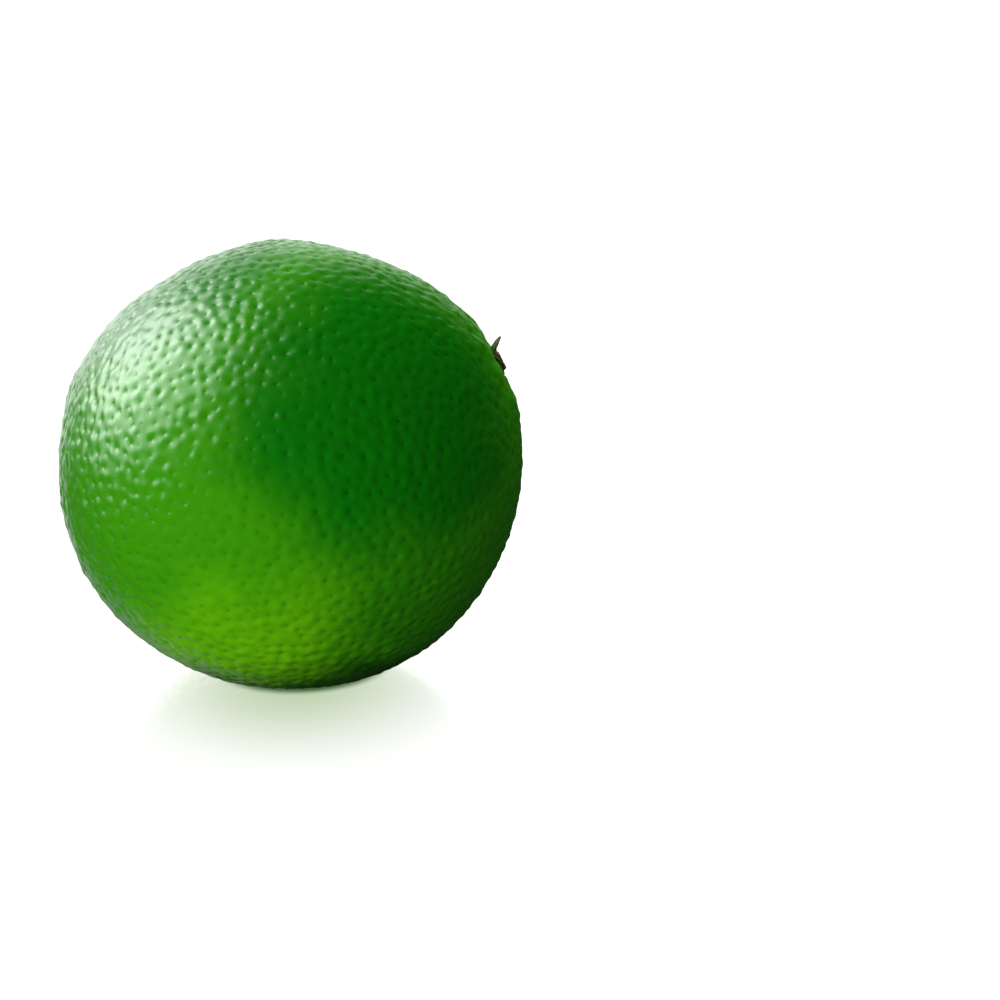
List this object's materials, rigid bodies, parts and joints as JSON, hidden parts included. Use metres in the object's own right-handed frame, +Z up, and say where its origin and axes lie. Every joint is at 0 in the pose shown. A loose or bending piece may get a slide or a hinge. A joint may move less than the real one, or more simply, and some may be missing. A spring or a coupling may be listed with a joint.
{
  "type": "lime",
  "caption": "Whole ripe lime lying on its side: pitted green rind, dry star-shaped calyx in the dimple of the stem end, low nipple at the blossom end, small flat resting spot.",
  "frame": {"origin": "in the middle of the small flat spot underneath, on the surface that the fruit rests on", "axes": "+Z up from that surface; the fruit's core lies in the XZ plane, with its stem end towards +X and 25.4 degrees above the horizontal, and its blossom end towards -X and down"},
  "size_m": [0.0538, 0.0519, 0.0518],
  "materials": {
    "rind": "satin",
    "dry_calyx": "matte"
  },
  "bodies": {
    "root": {"fruit": "rind", "stem_button": "dry_calyx"}
  },
  "joints": []
}
